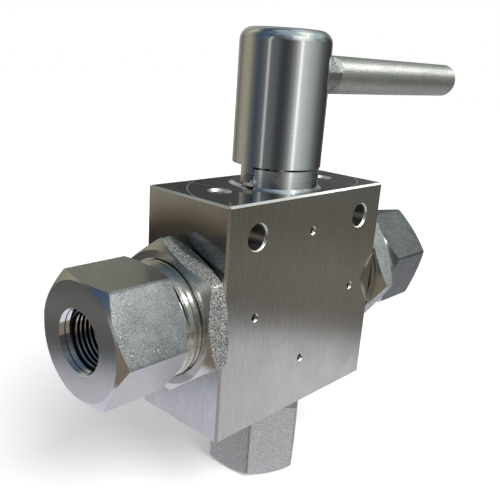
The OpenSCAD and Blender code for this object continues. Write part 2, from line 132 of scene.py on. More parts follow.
def build_world():
    """Bands of light round the valve, by compass degrees, one above the other."""
    world = bpy.data.worlds.new("studio")
    scene.world = world
    world.use_nodes = True
    tree = world.node_tree
    tree.nodes.clear()
    x, y, z = split(tree, add_node(tree, "ShaderNodeTexCoord").outputs["Generated"])
    around = calc(tree, "MULTIPLY_ADD", calc(tree, "ARCTAN2", y, x), 1 / (2 * math.pi), 0.5)

    def all_round(tones):
        return ramp(tree, around, sorted([((degrees + 180) % 360 / 360, tone) for degrees, tone in tones]))

    # Four bands stand above the ground, from the horizon up. Each tone has its degrees.
    horizon = all_round([
        (0, 0.05), (8, 0.06), (15, 0.12), (24, 0.35), (33, 0.12), (53, 0.06), (58, (0.42, 0.42, 0.4)),
        (68, (0.31, 0.31, 0.28)), (86, (0.18, 0.17, 0.13)), (94, (0.29, 0.27, 0.2)),
        (112, (0.4, 0.37, 0.29)), (127, (0.36, 0.34, 0.27)), (137, (0.2, 0.2, 0.18)),
        (147, (0.1, 0.115, 0.13)), (156, (0.065, 0.085, 0.115)), (168, (0.11, 0.125, 0.135)),
        (176, (0.2, 0.21, 0.21)), (179.5, 0.55), (182.5, 0.55), (186, (0.17, 0.18, 0.18)),
        (203, (0.115, 0.125, 0.13)), (213, (0.055, 0.065, 0.07)), (224, (0.055, 0.055, 0.065)), (235, 0.11),
        (246, (0.28, 0.3, 0.28)), (256, (0.68, 0.72, 0.68)), (261, (1.35, 1.38, 1.32)),
        (268, (0.72, 0.76, 0.72)), (286, (0.5, 0.54, 0.52)), (304, (0.33, 0.37, 0.37)),
        (323, (0.15, 0.16, 0.16)), (344, 0.065),
    ])
    low = all_round([
        (5, (0.2, 0.21, 0.2)), (20, 0.2), (28, 0.25), (35, 0.06), (46, 0.06), (50, (0.54, 0.54, 0.49)),
        (62, (0.47, 0.46, 0.4)), (73, (0.33, 0.32, 0.25)), (100, (0.42, 0.4, 0.33)),
        (120, (0.34, 0.33, 0.28)), (131, (0.18, 0.18, 0.15)), (143, (0.07, 0.11, 0.16)),
        (155, (0.07, 0.12, 0.2)), (167, (0.11, 0.16, 0.23)), (174, (0.16, 0.21, 0.24)),
        (180, (0.52, 0.56, 0.54)), (184, (0.5, 0.53, 0.5)), (191, (0.12, 0.13, 0.14)),
        (212, (0.08, 0.1, 0.11)), (230, (0.18, 0.2, 0.2)), (243, (0.6, 0.64, 0.62)),
        (258, (1.1, 1.14, 1.1)), (272, (1.0, 1.06, 1.0)), (288, (0.65, 0.72, 0.7)),
        (305, (0.26, 0.31, 0.32)), (325, (0.28, 0.34, 0.37)), (342, (0.13, 0.14, 0.15)),
        (353, (0.1, 0.1, 0.1)),
    ])
    high = all_round([
        (2, (0.42, 0.48, 0.49)), (15, (0.3, 0.35, 0.35)), (27, 0.43), (50, (0.48, 0.49, 0.46)),
        (66, (0.32, 0.33, 0.3)), (84, (0.48, 0.47, 0.38)), (94, (0.62, 0.62, 0.53)),
        (104, (0.45, 0.49, 0.45)), (120, (0.16, 0.19, 0.19)), (132, (0.085, 0.115, 0.13)),
        (150, (0.07, 0.11, 0.16)), (190, (0.11, 0.145, 0.18)), (210, (0.14, 0.185, 0.2)),
        (222, (0.26, 0.3, 0.32)), (233, (0.33, 0.38, 0.38)), (242, (0.85, 0.95, 0.93)),
        (258, (1.3, 1.36, 1.3)), (275, (1.3, 1.36, 1.32)), (286, (1.0, 1.1, 1.06)), (298, (0.7, 0.8, 0.79)),
        (310, (0.55, 0.63, 0.65)), (322, (0.55, 0.63, 0.65)), (335, (0.5, 0.58, 0.6)),
        (347, (0.51, 0.59, 0.61)),
    ])
    top = all_round([
        (8, (0.7, 0.75, 0.75)), (18, (0.72, 0.76, 0.75)), (27, (0.32, 0.36, 0.37)),
        (38, (0.15, 0.19, 0.23)), (60, (0.1, 0.14, 0.18)), (90, (0.1, 0.14, 0.16)),
        (105, (0.05, 0.09, 0.13)), (122, (0.055, 0.105, 0.15)), (150, (0.12, 0.18, 0.24)),
        (200, (0.25, 0.32, 0.37)), (250, (0.5, 0.6, 0.6)), (280, (0.75, 0.84, 0.82)),
        (300, (1.3, 1.34, 1.27)), (320, (1.4, 1.42, 1.33)), (335, (0.85, 0.95, 0.92)),
        (350, (0.72, 0.78, 0.79)),
    ])
    upper = horizon
    for start, full, band in ((0.2, 0.34, low), (0.42, 0.6, high), (0.72, 0.84, top), (0.93, 0.99, ZENITH)):
        upper = blend_colours(tree, ramp(tree, z, [(start, 0.0), (full, 1.0)]), upper, band)
    # The ground runs from straight below up to the horizon, as metal sees the floor.
    slope = add_up(tree, z, (x, -GROUND_TILT), (y, GROUND_TILT))
    below = calc(tree, "MULTIPLY_ADD", slope, 0.5, 0.5)
    sheet = ramp(tree, below, [
        (0.0, (0.8, 0.8, 0.88)), (0.25, (0.74, 0.73, 0.76)), (0.28, (0.7, 0.69, 0.71)),
        (0.292, (0.5, 0.49, 0.5)), (0.302, (0.24, 0.23, 0.21)), (0.312, (0.19, 0.18, 0.155)),
        (0.34, (0.21, 0.2, 0.165)), (0.38, (0.15, 0.14, 0.11)),
    ])
    left_sheet = ramp(tree, below, [
        (0.0, (0.8, 0.8, 0.92)), (0.262, (0.64, 0.65, 0.72)), (0.276, (0.42, 0.45, 0.5)),
        (0.286, (0.1, 0.1, 0.1)), (0.312, (0.09, 0.09, 0.09)), (0.328, (0.21, 0.21, 0.205)),
        (0.345, (0.15, 0.15, 0.15)), (0.356, (0.075, 0.075, 0.075)), (0.372, (0.06, 0.06, 0.065)),
        (0.389, (0.19, 0.14, 0.08)),
    ])
    to_left = all_round([(95, 0.0), (115, 1.0), (145, 1.0), (165, 0.0)])
    ground = blend_colours(tree, to_left, sheet, left_sheet)
    to_right = all_round([
        (50, 1.0), (295, 1.0), (305, 0.8), (318, 0.82), (324, 1.0), (328, 1.0), (341, (0.4, 0.42, 0.44)),
        (12, (0.4, 0.42, 0.44)),
    ])
    near_block = ramp(tree, below, [(0.12, 0.0), (0.2, 1.0)])
    ground = blend_colours(tree, near_block, ground, to_right, "MULTIPLY")
    brown = between(tree, add_up(tree, 0.0, (z, 0.82), (y, -0.225), (x, -0.974)), -0.05, 0.08)
    brown = calc(tree, "MULTIPLY", brown, all_round([(144, 0.0), (158, 1.0), (226, 1.0), (240, 0.0)]))
    ground = blend_colours(tree, brown, ground, FAR_GROUND)
    room = blend_colours(tree, ramp(tree, below, [(0.385, 0.0), (0.41, 1.0)]), ground, upper)
    # What isn't metal gets plain light, and the camera sees white.
    path = add_node(tree, "ShaderNodeLightPath").outputs
    seen_by_metal = calc(tree, "ADD", path["Is Glossy Ray"], path["Is Transmission Ray"])
    seen_white = calc(tree, "ADD", path["Is Camera Ray"], seen_by_metal)
    white = blend_colours(tree, seen_white, (0.5, 0.5, 0.505), (1.0, 1.0, 1.0))
    colour = blend_colours(tree, seen_by_metal, white, room, "MULTIPLY")
    background = add_node(tree, "ShaderNodeBackground", None, {"Color": colour, "Strength": 1.0})
    add_node(tree, "ShaderNodeOutputWorld", None, {"Surface": background.outputs[0]})


def floor_paper():
    """Matt white paper, a little brighter to the camera than its lamp makes it."""
    material = bpy.data.materials.new("floor_paper")
    material.use_nodes = True
    tree = material.node_tree
    sockets = tree.nodes["Principled BSDF"].inputs
    sockets["Base Color"].default_value = (0.86, 0.86, 0.87, 1)
    sockets["Roughness"].default_value = 0.9
    sockets["Specular IOR Level"].default_value = 0.0
    sockets["Emission Color"].default_value = (1, 1, 1, 1)
    seen = add_node(tree, "ShaderNodeLightPath").outputs["Is Camera Ray"]
    tree.links.new(calc(tree, "MULTIPLY", seen, 0.18), sockets["Emission Strength"])
    return material


def add_sun(name, azimuth, height, strength, width):
    """A distant lamp. Its place round and above the valve and its width are in degrees."""
    data = bpy.data.lights.new(name, "SUN")
    data.energy = strength
    data.angle = math.radians(width)
    sun = bpy.data.objects.new(name, data)
    scene.collection.objects.link(sun)
    turn, rise = math.radians(azimuth), math.radians(height)
    away = Vector((math.cos(turn) * math.cos(rise), math.sin(turn) * math.cos(rise), math.sin(rise)))
    sun.rotation_euler = away.to_track_quat("Z", "Y").to_euler()
    return sun


build_world()

floor_mesh = bpy.data.meshes.new("floor")
square = ((-1, -1), (1, -1), (1, 1), (-1, 1))
floor_corners = [(x * FLOOR_REACH, y * FLOOR_REACH, -FLOOR_DROP) for x, y in square]
floor_mesh.from_pydata(floor_corners, [], [(0, 1, 2, 3)])
floor_mesh.materials.append(floor_paper())
floor = bpy.data.objects.new("floor", floor_mesh)
scene.collection.objects.link(floor)
floor.visible_glossy = False

low_sun = add_sun("low_sun", 288, 45, 3.5, 3)
low_sun.visible_diffuse = False
soft_sky = add_sun("soft_sky", 265, 46, 3.1, 40)
soft_sky.visible_glossy = False


# The block is cut from rectangular steel bar, ground mirror-bright on top and drawn along
# its height with an abrasive belt on its sides. Its holes are drilled and its edges are
# broken with a file. The two tapped holes in the top keep their cut threads.

# Centre X, centre Y and radius of each arc on the top face.
SCRIBED_ARCS = ((-8.3 * MM, -14.3 * MM, 34.7 * MM), (11.9 * MM, 18.7 * MM, 38.4 * MM))
# The left face is painted dark above its locknut as shade, fading out between these distances.
NUT_SHADE_FADES_FROM = 29 * MM
NUT_SHADE_ENDS = 37 * MM
NUT_SHADE_STARTS_ABOVE_PORT = 2 * MM
NUT_SHADE_FULL_ABOVE_PORT = 12 * MM
BRUSHED = [(0.36, (0.58, 0.575, 0.57)), (0.5, (0.65, 0.645, 0.645)), (0.64, (0.72, 0.72, 0.725))]
BRUSHED_HANDLED = (0.58, 0.565, 0.54)
NUT_SHADE_TONE = (0.12, 0.12, 0.125)
GROUND_TOP = (0.45, 0.465, 0.47)
GROUND_TOP_HANDLED = (0.38, 0.39, 0.39)
SCRIBED = (0.8, 0.8, 0.8)
SCRATCHED = (0.9, 0.89, 0.87)
DRILLED = (0.88, 0.86, 0.82)
FILED_EDGE = (0.7, 0.68, 0.64)
# A hole's wall shines as if it opened outwards by this slope.
HOLE_FLARE = 0.8
TAPPED_SPACING = 55.6 * MM
TAPPED_DEPTH = 5.2 * MM
TAPPED_THREAD = {
    "root_radius": 3.32 * MM, "crest_radius": 2.75 * MM, "root_width": 1.2 * MM, "crest_width": 0.15 * MM,
    "pitch": 1.41 * MM, "turns": 3.0, "run_out": 0.3, "steps": 40}

block_low, block_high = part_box("valve_block")
left_low, left_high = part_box("left_adapter")
port_height = (left_low.z + left_high.z) / 2


def point(tree, x, y, z=0.0):
    """A vector from its three parts."""
    return add_node(tree, "ShaderNodeCombineXYZ", None, {0: x, 1: y, 2: z}).outputs[0]


def vector_calc(tree, operation, first, second=(0.0, 0.0, 0.0)):
    """A Vector Math node's outputs, from sockets or vectors."""
    return add_node(tree, "ShaderNodeVectorMath", {"operation": operation}, {0: first, 1: second}).outputs


def start_group(name, kind, inputs, outputs):
    """An empty node group with its named sockets, and its input and output nodes."""
    group = bpy.data.node_groups.new(name, kind)
    for socket_name, socket_kind, start in inputs:
        socket = group.interface.new_socket(socket_name, in_out="INPUT", socket_type=socket_kind)
        if start is not None:
            socket.default_value = start
    for socket_name, socket_kind in outputs:
        group.interface.new_socket(socket_name, in_out="OUTPUT", socket_type=socket_kind)
    return group, group.nodes.new("NodeGroupInput").outputs, group.nodes.new("NodeGroupOutput").inputs


def build_belt_grain():
    """Long fine lines along Z, as an abrasive belt leaves them."""
    group, given, result = start_group(
        "belt_grain", "ShaderNodeTree",
        [("Vector", "NodeSocketVector", None), ("Line Width", "NodeSocketFloat", 0.3 * MM),
         ("Stretch", "NodeSocketFloat", 50.0)],
        [("Grain", "NodeSocketFloat")])
    crosswise = calc(group, "DIVIDE", 1.0, given["Line Width"])
    lengthwise = calc(group, "DIVIDE", crosswise, given["Stretch"])
    density = point(group, crosswise, crosswise, lengthwise)
    place = vector_calc(group, "MULTIPLY", given["Vector"], density)["Vector"]
    noise = add_node(group, "ShaderNodeTexNoise", None,
                     {"Vector": place, "Scale": 1.0, "Detail": 3.0, "Roughness": 0.6})
    group.links.new(noise.outputs["Fac"], result["Grain"])
    return group


def build_grit():
    """Round grains of one size, as blasting leaves them, from 0 in the pits to 1."""
    group, given, result = start_group(
        "blasted_grit", "ShaderNodeTree",
        [("Vector", "NodeSocketVector", None), ("Grain Size", "NodeSocketFloat", 0.4 * MM)],
        [("Grit", "NodeSocketFloat")])
    density = calc(group, "DIVIDE", 1.0, given["Grain Size"])
    noise = add_node(group, "ShaderNodeTexNoise", None,
                     {"Vector": given["Vector"], "Scale": density, "Detail": 1.5, "Roughness": 0.55})
    group.links.new(between(group, noise.outputs["Fac"], 0.3, 0.7), result["Grit"])
    return group


def build_tool_rings():
    """Fine rings round Z, as a lathe tool leaves them on faces and on round walls."""
    group, given, result = start_group(
        "tool_rings", "ShaderNodeTree",
        [("Vector", "NodeSocketVector", None), ("Feed", "NodeSocketFloat", 0.2 * MM)],
        [("Rings", "NodeSocketFloat"), ("Radius", "NodeSocketFloat")])
    x, y, z = split(group, given["Vector"])
    radius = vector_calc(group, "LENGTH", point(group, x, y))["Value"]
    travel = calc(group, "DIVIDE", calc(group, "ADD", radius, z), given["Feed"])
    noise = add_node(group, "ShaderNodeTexNoise", {"noise_dimensions": "1D"},
                     {"W": travel, "Scale": 1.0, "Detail": 2.0, "Roughness": 0.6})
    group.links.new(noise.outputs["Fac"], result["Rings"])
    group.links.new(radius, result["Radius"])
    return group


def build_handling():
    """Broad cloudy marks of handling and wiping, from 0 to 1."""
    group, given, result = start_group(
        "handling_marks", "ShaderNodeTree",
        [("Vector", "NodeSocketVector", None), ("Size", "NodeSocketFloat", 12 * MM)],
        [("Marks", "NodeSocketFloat")])
    density = calc(group, "DIVIDE", 1.0, given["Size"])
    noise = add_node(group, "ShaderNodeTexNoise", None, {
        "Vector": given["Vector"], "Scale": density, "Detail": 4.0, "Roughness": 0.62, "Distortion": 0.4})
    group.links.new(between(group, noise.outputs["Fac"], 0.32, 0.68), result["Marks"])
    return group


def build_scratches():
    """Sparse bright hairlines in two directions, 1 on a scratch and 0 beside it."""
    group, given, result = start_group(
        "hairline_scratches", "ShaderNodeTree",
        [("Vector", "NodeSocketVector", None), ("Length", "NodeSocketFloat", 6 * MM),
         ("Amount", "NodeSocketFloat", 0.3)],
        [("Scratch", "NodeSocketFloat")])
    crosswise = calc(group, "DIVIDE", 26.0, given["Length"])
    lengthwise = calc(group, "DIVIDE", 1.0, given["Length"])
    found = None
    for turn in ((0.5, 0.3, 0.9), (-0.4, 0.8, -0.5)):
        turned = add_node(group, "ShaderNodeVectorRotate", {"rotation_type": "EULER_XYZ"},
                          {"Vector": given["Vector"], "Rotation": turn}).outputs[0]
        density = point(group, crosswise, lengthwise, crosswise)
        place = vector_calc(group, "MULTIPLY", turned, density)["Vector"]
        noise = add_node(group, "ShaderNodeTexNoise", None, {"Vector": place, "Scale": 1.0, "Detail": 0.0})
        limit = calc(group, "MULTIPLY_ADD", given["Amount"], -0.2, 0.83)
        mask = between(group, noise.outputs["Fac"], limit, calc(group, "ADD", limit, 0.03))
        found = mask if found is None else calc(group, "MAXIMUM", found, mask)
    group.links.new(found, result["Scratch"])
    return group


belt_grain = build_belt_grain()
blasted_grit = build_grit()
tool_rings = build_tool_rings()
handling_marks = build_handling()
hairline_scratches = build_scratches()


def use_group(tree, group, **sockets):
    """A placed node group's outputs. Underscores in a name stand for spaces."""
    named = {name.replace("_", " "): value for name, value in sockets.items()}
    return add_node(tree, "ShaderNodeGroup", {"node_tree": group}, named).outputs


def start_material(name, metallic, roughness, anisotropy=0.0, turn=0.0, axis="Z"):
    """A new material with its node tree, shader, object coordinates and surface direction."""
    material = bpy.data.materials.new(name)
    material.use_nodes = True
    tree = material.node_tree
    shader = tree.nodes["Principled BSDF"]
    shader.inputs["Metallic"].default_value = metallic
    shader.inputs["Roughness"].default_value = roughness
    if anisotropy:
        shader.inputs["Anisotropic"].default_value = anisotropy
        shader.inputs["Anisotropic Rotation"].default_value = turn
        tangent = add_node(tree, "ShaderNodeTangent", {"direction_type": "RADIAL", "axis": axis})
        tree.links.new(tangent.outputs[0], shader.inputs["Tangent"])
    coordinates = add_node(tree, "ShaderNodeTexCoord").outputs
    return material, tree, shader, coordinates["Object"], coordinates["Normal"]


def finish(tree, shader, tone, rough, normal):
    """Links a material's colour, roughness and bumped normal to its shader."""
    tree.links.new(tone, shader.inputs["Base Color"])
    tree.links.new(rough, shader.inputs["Roughness"])
    tree.links.new(normal, shader.inputs["Normal"])


def flip(tree, mask):
    """1 where a mask is 0, and 0 where it is 1."""
    return calc(tree, "SUBTRACT", 1.0, mask)


def past(tree, value, edge):
    """1 from an edge on, and 0 up to a tenth of a millimetre before it."""
    return between(tree, value, edge - 0.1 * MM, edge)


def along(tree, vector, axis):
    """How far a vector points along an axis."""
    return vector_calc(tree, "DOT_PRODUCT", vector, axis)["Value"]


def lay_over(tree, tone, colour, mask, share):
    """A tone with a share of a colour laid over it where a mask is 1."""
    return blend_colours(tree, calc(tree, "MULTIPLY", mask, share), tone, colour)


def bump(tree, height, depth, strength=1.0, normal=None):
    """A normal tilted by a height, over the surface's own normal or another one."""
    sockets = {"Height": height, "Distance": depth, "Strength": strength}
    if normal is not None:
        sockets["Normal"] = normal
    return add_node(tree, "ShaderNodeBump", None, sockets).outputs[0]


def moved(tree, vector, centre, turn=(0, 0, 0)):
    """Object coordinates measured from a centre, turned so that a piece's axis is Z."""
    start = tuple(-value for value in centre)
    shifted = add_node(tree, "ShaderNodeMapping", None, {"Vector": vector, "Location": start}).outputs[0]
    if turn == (0, 0, 0):
        return shifted
    return add_node(tree, "ShaderNodeMapping", None, {"Vector": shifted, "Rotation": turn}).outputs[0]


def dress(node_name, material):
    """Puts a material on a carried-over CAD node."""
    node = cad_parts[node_name]
    node.data.materials.clear()
    node.data.materials.append(material)


def block_regions(tree, place, facing):
    """Masks of the block's ground top, its holes and its edges, and how far out Y lies."""
    upward = along(tree, facing, (0, 0, 1))
    top = between(tree, upward, 0.9, 0.98)
    centred = moved(tree, place, (block_low + block_high) / 2)
    shrunk = vector_calc(tree, "DIVIDE", centred, tuple((block_high - block_low) / 2))["Vector"]
    out_x, out_y, out_z = split(tree, vector_calc(tree, "ABSOLUTE", shrunk)["Vector"])
    farthest = calc(tree, "MAXIMUM", calc(tree, "MAXIMUM", out_x, out_y), out_z)
    outer = between(tree, farthest, 0.955, 0.97)
    facing_x = calc(tree, "ABSOLUTE", along(tree, facing, (1, 0, 0)))
    facing_y = calc(tree, "ABSOLUTE", along(tree, facing, (0, 1, 0)))
    upright = between(tree, calc(tree, "MINIMUM", facing_x, facing_y), 0.3, 0.5)
    low = flip(tree, between(tree, along(tree, place, (0, 0, 1)), port_height - 10 * MM, port_height))
    upright = calc(tree, "MULTIPLY", upright, add_up(tree, 0.3, (low, 0.6)))
    level = between(tree, calc(tree, "ABSOLUTE", upward), 0.3, 0.5)
    bevel = calc(tree, "MULTIPLY", calc(tree, "MAXIMUM", level, upright), flip(tree, top))
    return top, flip(tree, outer), calc(tree, "MULTIPLY", bevel, outer), out_y


def painted_nut_shade(tree, place, facing):
    """1 where the left face above the locknut is painted dark as shade, and 0 beyond it."""
    from_port = moved(tree, place, (block_low.x, 0, port_height))
    away = vector_calc(tree, "LENGTH", from_port)["Value"]
    near_nut = flip(tree, between(tree, away, NUT_SHADE_FADES_FROM, NUT_SHADE_ENDS))
    height = along(tree, from_port, (0, 0, 1))
    above = between(tree, height, NUT_SHADE_STARTS_ABOVE_PORT, NUT_SHADE_FULL_ABOVE_PORT)
    on_left = between(tree, along(tree, facing, (-1, 0, 0)), 0.9, 0.98)
    return calc(tree, "MULTIPLY", near_nut, calc(tree, "MULTIPLY", above, on_left))


def scribed_arcs(tree, place):
    """1 on the two arcs scribed on the top face, and 0 beside them."""
    arcs = None
    for x, y, radius in SCRIBED_ARCS:
        from_centre = moved(tree, place, (x, y, block_high.z))
        away = vector_calc(tree, "LENGTH", from_centre)["Value"]
        off = calc(tree, "ABSOLUTE", calc(tree, "SUBTRACT", away, radius))
        line = flip(tree, between(tree, off, 0.1 * MM, 0.4 * MM))
        arcs = line if arcs is None else calc(tree, "MAXIMUM", arcs, line)
    return arcs


def block_steel():
    material, tree, shader, place, facing = start_material("block_steel", 1.0, 0.2, 0.55)
    top, hole, edge, out_y = block_regions(tree, place, facing)
    side = flip(tree, top)
    nut_shade = painted_nut_shade(tree, place, facing)
    arcs = scribed_arcs(tree, place)
    fine = use_group(tree, belt_grain, Vector=place, Line_Width=0.22 * MM, Stretch=22.0)["Grain"]
    broad = use_group(tree, belt_grain, Vector=place, Line_Width=0.9 * MM, Stretch=8.0)["Grain"]
    marks = use_group(tree, handling_marks, Vector=place, Size=14 * MM)["Marks"]
    scratch = use_group(tree, hairline_scratches, Vector=place, Length=5 * MM, Amount=0.25)["Scratch"]
    brushed = ramp(tree, add_up(tree, 0.0, (fine, 0.65), (broad, 0.35)), BRUSHED)
    brushed = lay_over(tree, brushed, BRUSHED_HANDLED, marks, 0.4)
    # Painted shade: the left face is darkened above its locknut, where the nut shades it.
    brushed = lay_over(tree, brushed, NUT_SHADE_TONE, nut_shade, 0.65)
    ground = lay_over(tree, GROUND_TOP, GROUND_TOP_HANDLED, marks, 0.3)
    ground = lay_over(tree, ground, SCRIBED, arcs, 0.5)
    tone = blend_colours(tree, top, brushed, ground)
    tone = lay_over(tree, tone, SCRATCHED, scratch, 0.3)
    tone = lay_over(tree, tone, DRILLED, hole, 0.3)
    tone = lay_over(tree, tone, FILED_EDGE, edge, 0.8)
    side_rough = add_up(tree, 0.035, (marks, 0.08), (fine, 0.1))
    top_rough = add_up(tree, 0.035, (arcs, 0.25), (marks, 0.05))
    rough = add_up(tree, 0.0, (top, top_rough), (side, side_rough))
    rough = add_up(tree, rough, (edge, 0.28), (scratch, 0.08), (hole, 0.22))
    from_middle = calc(tree, "MULTIPLY", out_y, block_high.y)
    flared = bump(tree, calc(tree, "MULTIPLY", from_middle, hole), HOLE_FLARE)
    grain = calc(tree, "MULTIPLY", broad, side)
    grain = add_up(tree, grain, (calc(tree, "MULTIPLY", fine, side), 0.5), (scratch, -0.2))
    finish(tree, shader, tone, rough, bump(tree, grain, 0.02 * MM, 0.4, flared))
    return material


dress("valve_block", block_steel())


def build_thread_ridge():
    """One ridge of a screw thread, wound round Z from Z = 0, that runs out at both ends."""
    tree, given, result = start_group(
        "thread_ridge", "GeometryNodeTree",
        [("Root Radius", "NodeSocketFloat", 10 * MM), ("Crest Radius", "NodeSocketFloat", 9 * MM),
         ("Root Width", "NodeSocketFloat", 1.4 * MM), ("Crest Width", "NodeSocketFloat", 0.2 * MM),
         ("Pitch", "NodeSocketFloat", 1.6 * MM), ("Turns", "NodeSocketFloat", 5.0),
         ("Run Out", "NodeSocketFloat", 0.4), ("Steps", "NodeSocketInt", 60),
         ("Steel", "NodeSocketMaterial", None)],
        [("Ridge", "NodeSocketGeometry")])
    rows = calc(tree, "ROUND", calc(tree, "MULTIPLY_ADD", given["Turns"], given["Steps"], 1.0))
    grid = add_node(tree, "GeometryNodeMeshGrid", None,
                    {"Size X": 1.0, "Size Y": 1.0, "Vertices X": rows, "Vertices Y": 5})
    x, y, _ = split(tree, tree.nodes.new("GeometryNodeInputPosition").outputs[0])
    # Across the ridge, corners 0 and 3 are its feet, 1 and 2 its crest, and 4 closes it at 0.
    run = calc(tree, "ADD", x, 0.5)
    corner = calc(tree, "MULTIPLY_ADD", y, 4.0, 2.0)
    on_crest = calc(tree, "LESS_THAN", calc(tree, "ABSOLUTE", calc(tree, "SUBTRACT", corner, 1.5)), 0.75)
    far_side = calc(tree, "LESS_THAN", calc(tree, "ABSOLUTE", calc(tree, "SUBTRACT", corner, 2.5)), 0.75)
    sign = calc(tree, "MULTIPLY_ADD", far_side, 2.0, -1.0)
    turned = calc(tree, "MULTIPLY", run, given["Turns"])
    left = calc(tree, "SUBTRACT", given["Turns"], turned)
    fade = calc(tree, "DIVIDE", calc(tree, "MINIMUM", turned, left), given["Run Out"])
    fade = calc(tree, "MINIMUM", fade, 1.0)
    height = calc(tree, "SUBTRACT", given["Crest Radius"], given["Root Radius"])
    rise = calc(tree, "MULTIPLY", height, calc(tree, "MULTIPLY", on_crest, fade))
    radius = calc(tree, "ADD", given["Root Radius"], rise)
    narrowing = calc(tree, "SUBTRACT", given["Crest Width"], given["Root Width"])
    width = add_up(tree, given["Root Width"], (on_crest, narrowing))
    offset = calc(tree, "MULTIPLY", width, calc(tree, "MULTIPLY", sign, 0.5))
    angle = calc(tree, "MULTIPLY", turned, 2 * math.pi)
    place = point(tree, calc(tree, "MULTIPLY", radius, calc(tree, "COSINE", angle)),
                  calc(tree, "MULTIPLY", radius, calc(tree, "SINE", angle)),
                  add_up(tree, calc(tree, "MULTIPLY", offset, fade), (turned, given["Pitch"])))
    wound = add_node(tree, "GeometryNodeSetPosition", None,
                     {"Geometry": grid.outputs["Mesh"], "Position": place})
    closed = add_node(tree, "GeometryNodeMergeByDistance", None,
                      {"Geometry": wound.outputs[0], "Distance": 0.002 * MM})
    real = add_node(tree, "GeometryNodeRealizeInstances", None, {"Geometry": closed.outputs[0]})
    dressed = add_node(tree, "GeometryNodeSetMaterial", None,
                       {"Geometry": real.outputs[0], "Material": given["Steel"]})
    tree.links.new(dressed.outputs[0], result["Ridge"])
    return tree


thread_ridge = build_thread_ridge()


def wind_thread(name, steel, place, slot, **sizes):
    """A thread ridge as a plain mesh, moved to its place by a matrix."""
    piece = bpy.data.objects.new(name, bpy.data.meshes.new(name))
    scene.collection.objects.link(piece)
    modifier = piece.modifiers.new("wind", "NODES")
    modifier.node_group = thread_ridge
    for socket in thread_ridge.interface.items_tree:
        size = socket.name.replace(" ", "_").lower()
        if size in sizes:
            modifier[socket.identifier] = sizes[size]
        elif size == "steel":
            modifier[socket.identifier] = steel
    mesh = bpy.data.meshes.new_from_object(piece.evaluated_get(bpy.context.evaluated_depsgraph_get()))
    piece.modifiers.clear()
    piece.data = mesh
    mesh.transform(place)
    shell = bmesh.new()
    shell.from_mesh(mesh)
    bmesh.ops.recalc_face_normals(shell, faces=shell.faces)
    shell.to_mesh(mesh)
    shell.free()
    mesh.shade_smooth()
    mesh.set_sharp_from_angle(angle=math.radians(30))
    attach(piece, "valve")


def fresh_thread_steel():
    """Freshly cut thread flanks."""
    material, tree, shader, place, _ = start_material("cut_thread_steel", 1.0, 0.3, 0.8, 0.25, "X")
    marks = use_group(tree, handling_marks, Vector=place, Size=3 * MM)["Marks"]
    grit = use_group(tree, blasted_grit, Vector=place, Grain_Size=0.25 * MM)["Grit"]
    tone = ramp(tree, marks, [(0.0, (0.54, 0.52, 0.48)), (1.0, (0.8, 0.78, 0.72))])
    finish(tree, shader, tone, add_up(tree, 0.2, (grit, 0.12)), bump(tree, grit, 0.01 * MM, 0.4))
    return material


cut_thread_steel = fresh_thread_steel()

for name, side in (("left_tapped_thread", -1), ("right_tapped_thread", 1)):
    foot = Matrix.Translation((side * TAPPED_SPACING / 2, 0, block_high.z - TAPPED_DEPTH))
    wind_thread(name, cut_thread_steel, foot, "block_steel", **TAPPED_THREAD)


# The three end adapters are turned from hexagon bar. The side ones stand out of their
# locknuts on a left-over length of lock thread. Each has a bored mouth, a smooth entry
# with a shallow groove, and a coned and threaded port cut inwards from it.

PORT_BORE = 10.4 * MM
PORT_ENTRY = 3.8 * MM
GROOVE_DEPTH = 2.0 * MM
PORT_THREAD_START = 3.3 * MM
PORT_THREAD_LENGTH = 13.2 * MM
PORT_THREAD_ROOT = 9.62 * MM
PORT_THREAD_CREST = 8.7 * MM
PORT_PITCH = 25.4 / 16 * MM
HEX_LENGTH = 25 * MM
LOCK_THREAD_START = 48.9 * MM
LOCK_THREAD_ROOT = 18.4 * MM
LOCK_THREAD_CREST = 18.95 * MM
LOCK_PITCH = 25.4 / 12 * MM
TURNED = [(0.3, (0.6, 0.59, 0.58)), (0.7, (0.73, 0.725, 0.72))]
TURNED_BANDS = (0.58, 0.57, 0.55)
BORED = (0.78, 0.78, 0.79)
SHADED = (0.02, 0.02, 0.02)
FLAT_HANDLED = (0.5, 0.5, 0.48)
# Flats that face up get a darker tone as painted shade, and flats that face down a lighter one as painted
# light.
FLAT_TOP_SHADE = (0.33, 0.32, 0.29)
FLAT_UNDER_LIGHT = (0.58, 0.58, 0.59)
FLAT_SCRATCHED = (0.88, 0.88, 0.86)
SATIN = [(0.2, (0.15, 0.16, 0.16)), (0.55, (0.27, 0.28, 0.28)), (0.85, (0.5, 0.52, 0.51))]
DULL = [(0.2, (0.2, 0.21, 0.21)), (0.8, (0.28, 0.295, 0.295))]
PALE = [(0.2, (0.42, 0.42, 0.43)), (0.55, (0.62, 0.62, 0.62)), (0.85, (0.88, 0.88, 0.88))]
# A port's entry shines as if it opened outwards by this slope, and an end face as if it
# were slightly domed.
ENTRY_FLARE = 0.84
FACE_CROWN = 1.0


def blend_values(tree, factor, first, second):
    """A Mix node's value, from sockets or numbers."""
    sockets = {0: factor, 2: first, 3: second}
    return add_node(tree, "ShaderNodeMix", {"data_type": "FLOAT"}, sockets).outputs[0]


